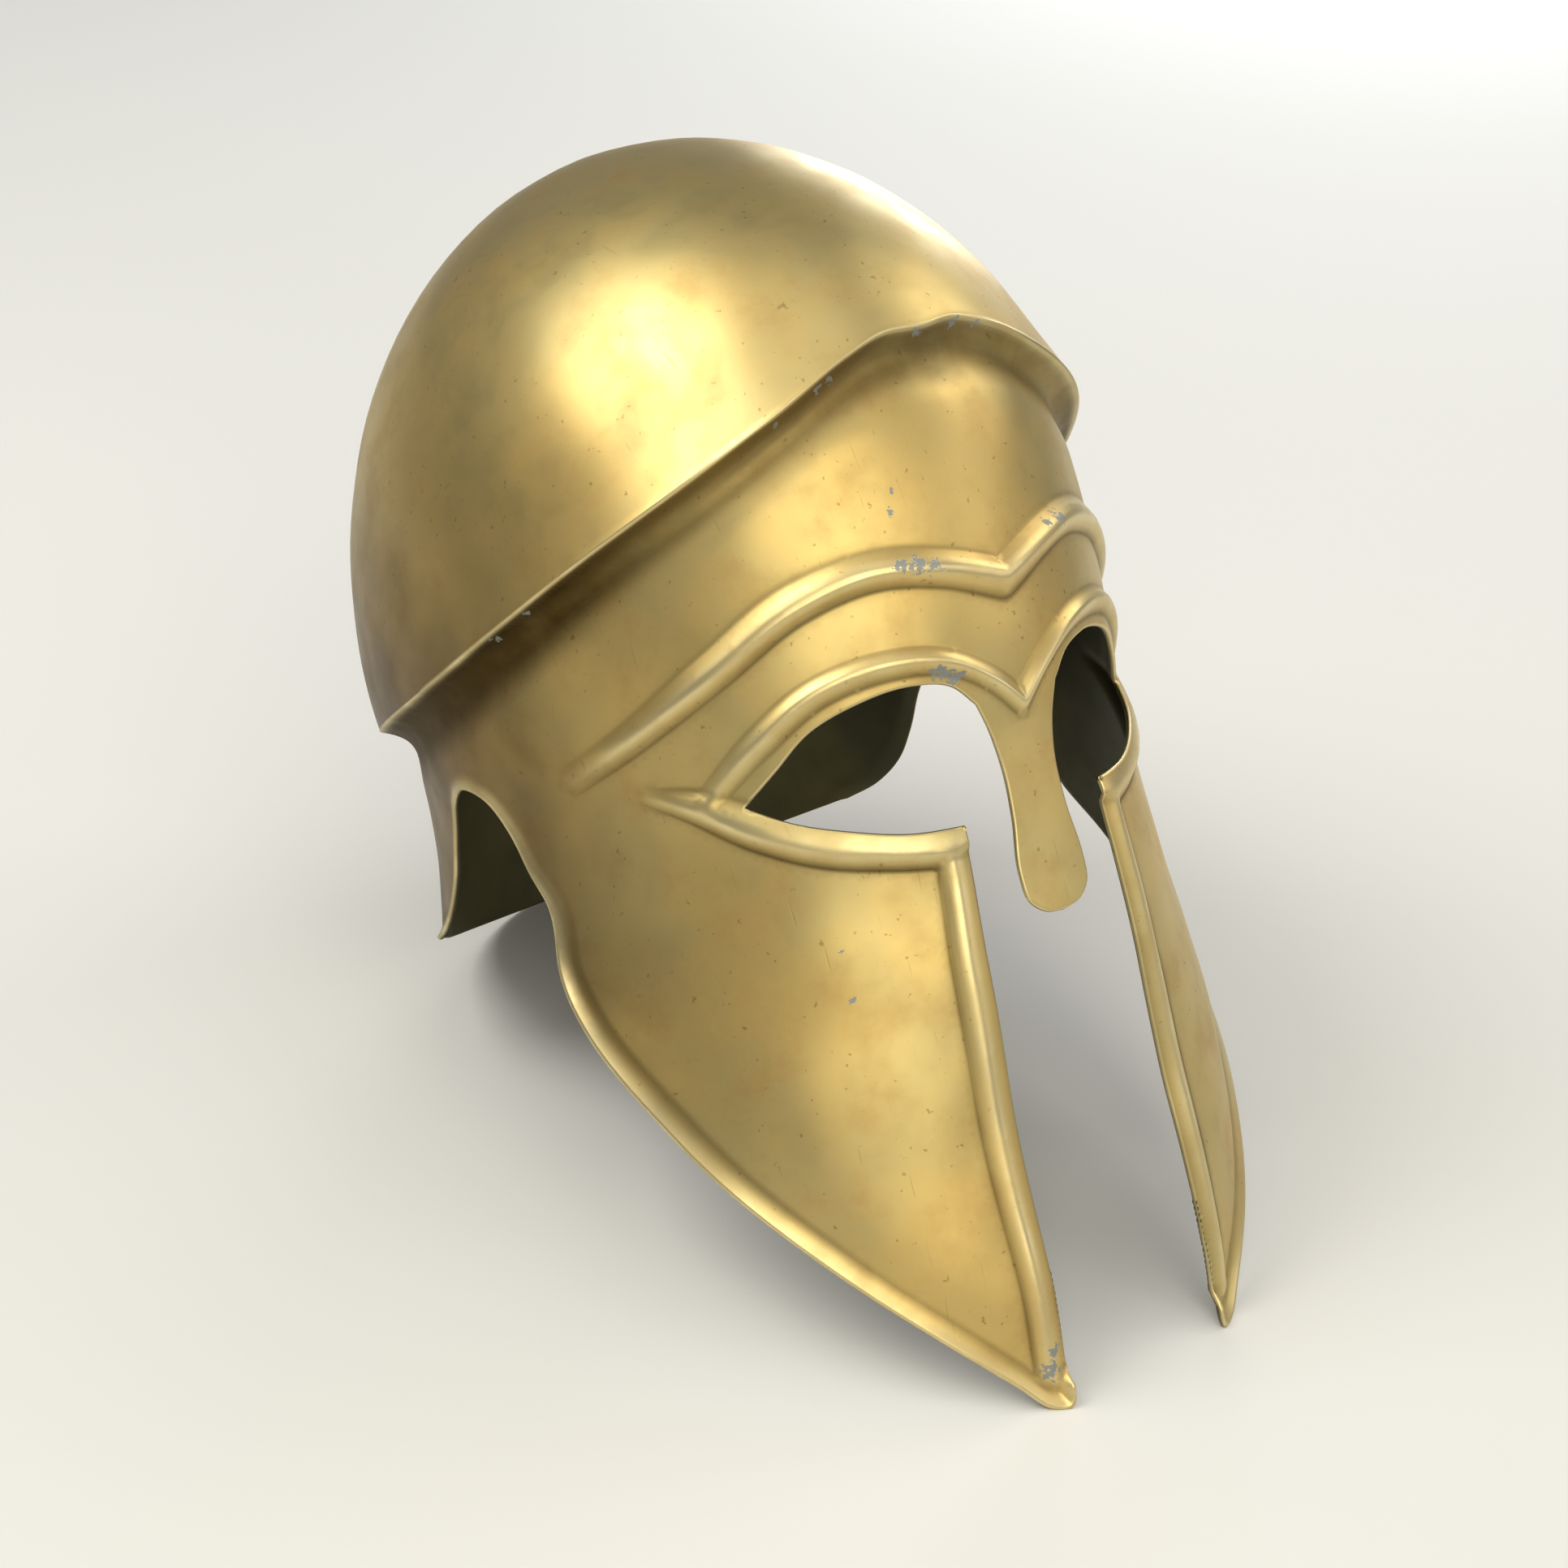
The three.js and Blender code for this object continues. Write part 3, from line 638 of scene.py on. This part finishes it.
def stored(name):
    """A finish value that the mesh stores at each point."""
    return add(tree, "ShaderNodeAttribute", {"attribute_name": name}).outputs["Fac"]


# Satin brass: raised, scoured and buffed by hand, so it gives broad soft highlights. Olive and
# brown tarnish in clouds, with painted shade towards the back; dirt and painted shade in the
# hollows and creases; rubbed bright crests and edges with painted highlights; bare grey chips; and
# an unpolished inside, darkened partly as painted shade.
brass = bpy.data.materials.new("satin_brass")
brass.use_nodes = True
tree = brass.node_tree
to_mm = add(tree, "ShaderNodeVectorMath", {"operation": "SCALE"}, Scale=1000.0)
tree.links.new(add(tree, "ShaderNodeTexCoord").outputs["Object"], to_mm.inputs[0])
place_mm = to_mm.outputs[0]

clouds, blotches, specks, grain = noise(70), noise(16, 5.0), noise(2.2, 2.0), noise(0.5)
inside_face = stored("inner_side")
# Brown tarnish and painted shade towards the back, broken up by clouds
cloudy_brown_and_shade = combine("MULTIPLY", stored("browned_and_shaded"), ramp(clouds, 0.3, 0.6, 0.75, 0.95))
# Rubbed bright crests and edges, partly painted highlight
worn_and_highlit = combine("MULTIPLY", stored("rubbed_and_highlit"), ramp(blotches, 0.3, 0.6, 1.0, 0.6))
# Dirt and painted shade in the hollow under the ridge and in the creases at the foot of the raised
# lines
dirty_and_shaded = combine("MULTIPLY", stored("grime_and_shade"), ramp(blotches, 0.25, 0.6, 0.88, 1.0))

# Ragged chips: noise above a level that rises with the distance from the nearest chip
nearest_chip = None
for spot, chip_reach in zip(chip_places * 1000, reach):
    away = add(tree, "ShaderNodeVectorMath", {"operation": "DISTANCE"}, _0=place_mm, _1=tuple(spot))
    near = combine("DIVIDE", away.outputs["Value"], float(chip_reach))
    nearest_chip = near if nearest_chip is None else combine("MINIMUM", nearest_chip, near)
chipped = combine("SUBTRACT", noise(1.4, 4.0), combine("MULTIPLY", nearest_chip, 0.22))
chipped = ramp(chipped, 0.33, 0.38)

# Buffing scratches: noise drawn out into long thin lines, kept where a second noise is high
drawn_out = {"Rotation": (0.5, 0.3, 0.9), "Scale": (2.6, 0.05, 0.05)}
drawn_place = add(tree, "ShaderNodeMapping", Vector=place_mm, **drawn_out).outputs[0]
lines = add(tree, "ShaderNodeTexNoise", Vector=drawn_place, Scale=1.0, Detail=1.0).outputs["Fac"]
scratched = combine("MULTIPLY", ramp(lines, 0.7, 0.76), ramp(noise(22), 0.5, 0.62))

colour = mix(ramp(clouds, 0.35, 0.65), linear("#d0b471"), linear("#c3b077"))
colour = mix(ramp(blotches, 0.45, 0.8, 0, 0.55), colour, linear("#b5935a"))
colour = mix(ramp(specks, 0.68, 0.74, 0, 0.5), colour, linear("#7d6134"))
colour = mix(combine("MULTIPLY", scratched, 0.35), colour, linear("#8a7040"))
# Brown tarnish and painted shade on the rear side
colour = mix(cloudy_brown_and_shade, colour, linear("#523f24"))
# Rubbed brightness and painted highlight: light brass on crests and edges
colour = mix(worn_and_highlit, colour, linear("#e4d4a2"))
# Dirt and painted shade: dark brown under the ridge and in the creases
colour = mix(dirty_and_shaded, colour, linear("#4a3a1a"))
colour = mix(chipped, colour, linear("#9a9d9a"))
# Inside: unpolished metal, darkened partly as painted shade
inside_dark_and_shade = mix(ramp(clouds, 0.4, 0.6), linear("#5a5843"), linear("#6c6748"))
colour = mix(inside_face, colour, inside_dark_and_shade)

rough = ramp(blotches, 0.3, 0.7, 0.37, 0.46)
rough = combine("ADD", rough, combine("MULTIPLY", dirty_and_shaded, 0.18))
rough = combine("SUBTRACT", rough, combine("MULTIPLY", worn_and_highlit, 0.08))
rough = combine("ADD", rough, combine("MULTIPLY", combine("MAXIMUM", inside_face, chipped), 0.2))

surface = combine("ADD", specks, combine("MULTIPLY", grain, 0.35))
surface = combine("SUBTRACT", surface, combine("MULTIPLY", chipped, 3.0))
surface = combine("SUBTRACT", surface, scratched)
bump = add(tree, "ShaderNodeBump", Height=surface, Strength=0.35, Distance=0.00004)

shader = tree.nodes["Principled BSDF"]
shader.inputs["Metallic"].default_value = 1
tree.links.new(colour, shader.inputs["Base Color"])
tree.links.new(rough, shader.inputs["Roughness"])
tree.links.new(bump.outputs["Normal"], shader.inputs["Normal"])
helmet_mesh.materials.append(brass)

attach(helmet, root)
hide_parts("shell")


# Studio
# A pale floor in a dim pale room, and large soft lamps.
floor_size = 60
floor_mesh = bpy.data.meshes.new("floor")
corners = np.array([(-1, -1, 0), (1, -1, 0), (1, 1, 0), (-1, 1, 0)]) * floor_size / 2
floor_mesh.from_pydata(corners.tolist(), [], [(0, 1, 2, 3)])
floor = bpy.data.objects.new("floor", floor_mesh)
bpy.context.scene.collection.objects.link(floor)
pale = bpy.data.materials.new("pale_paper")
pale.use_nodes = True
pale.node_tree.nodes["Principled BSDF"].inputs["Base Color"].default_value = linear("#d9d9d7")
pale.node_tree.nodes["Principled BSDF"].inputs["Roughness"].default_value = 0.9
floor_mesh.materials.append(pale)

world = bpy.data.worlds.new("room")
world.use_nodes = True
world.node_tree.nodes["Background"].inputs["Color"].default_value = linear("#f4f4f2")
world.node_tree.nodes["Background"].inputs["Strength"].default_value = 0.36
bpy.context.scene.world = world

# name, azimuth and elevation it shines from, distance, size, power in watts, colour
lamps = [
    ("window", -122, 50, 1.5, 0.8, 14, "#fffdf4"),
    ("front", -30, 35, 1.7, 1.4, 14, "#fff8e2"),
    ("door", 128, 10, 1.5, 0.5, 5, "#f4f8ff"),
    ("side", 88, 42, 1.5, 0.7, 5, "#fffaf0"),
    ("right", 36, 28, 1.7, 1.3, 4.5, "#fffaf0"),
    ("ceiling", 0, 88, 1.8, 1.0, 3, "#ffffff"),
]
aim = Vector((0, 0, 0.12))
for name, azimuth, elevation, distance, lamp_size, power, lamp_colour in lamps:
    around, up = np.radians(azimuth), np.radians(elevation)
    towards = Vector((np.sin(around) * np.cos(up), -np.cos(around) * np.cos(up), np.sin(up)))
    lamp_data = bpy.data.lights.new(name, "AREA")
    lamp_data.size = lamp_size
    lamp_data.energy = power
    lamp_data.color = linear(lamp_colour)[:3]
    lamp = bpy.data.objects.new(name, lamp_data)
    lamp.location = towards * distance + aim
    lamp.rotation_euler = (-towards).to_track_quat("-Z", "Y").to_euler()
    bpy.context.scene.collection.objects.link(lamp)
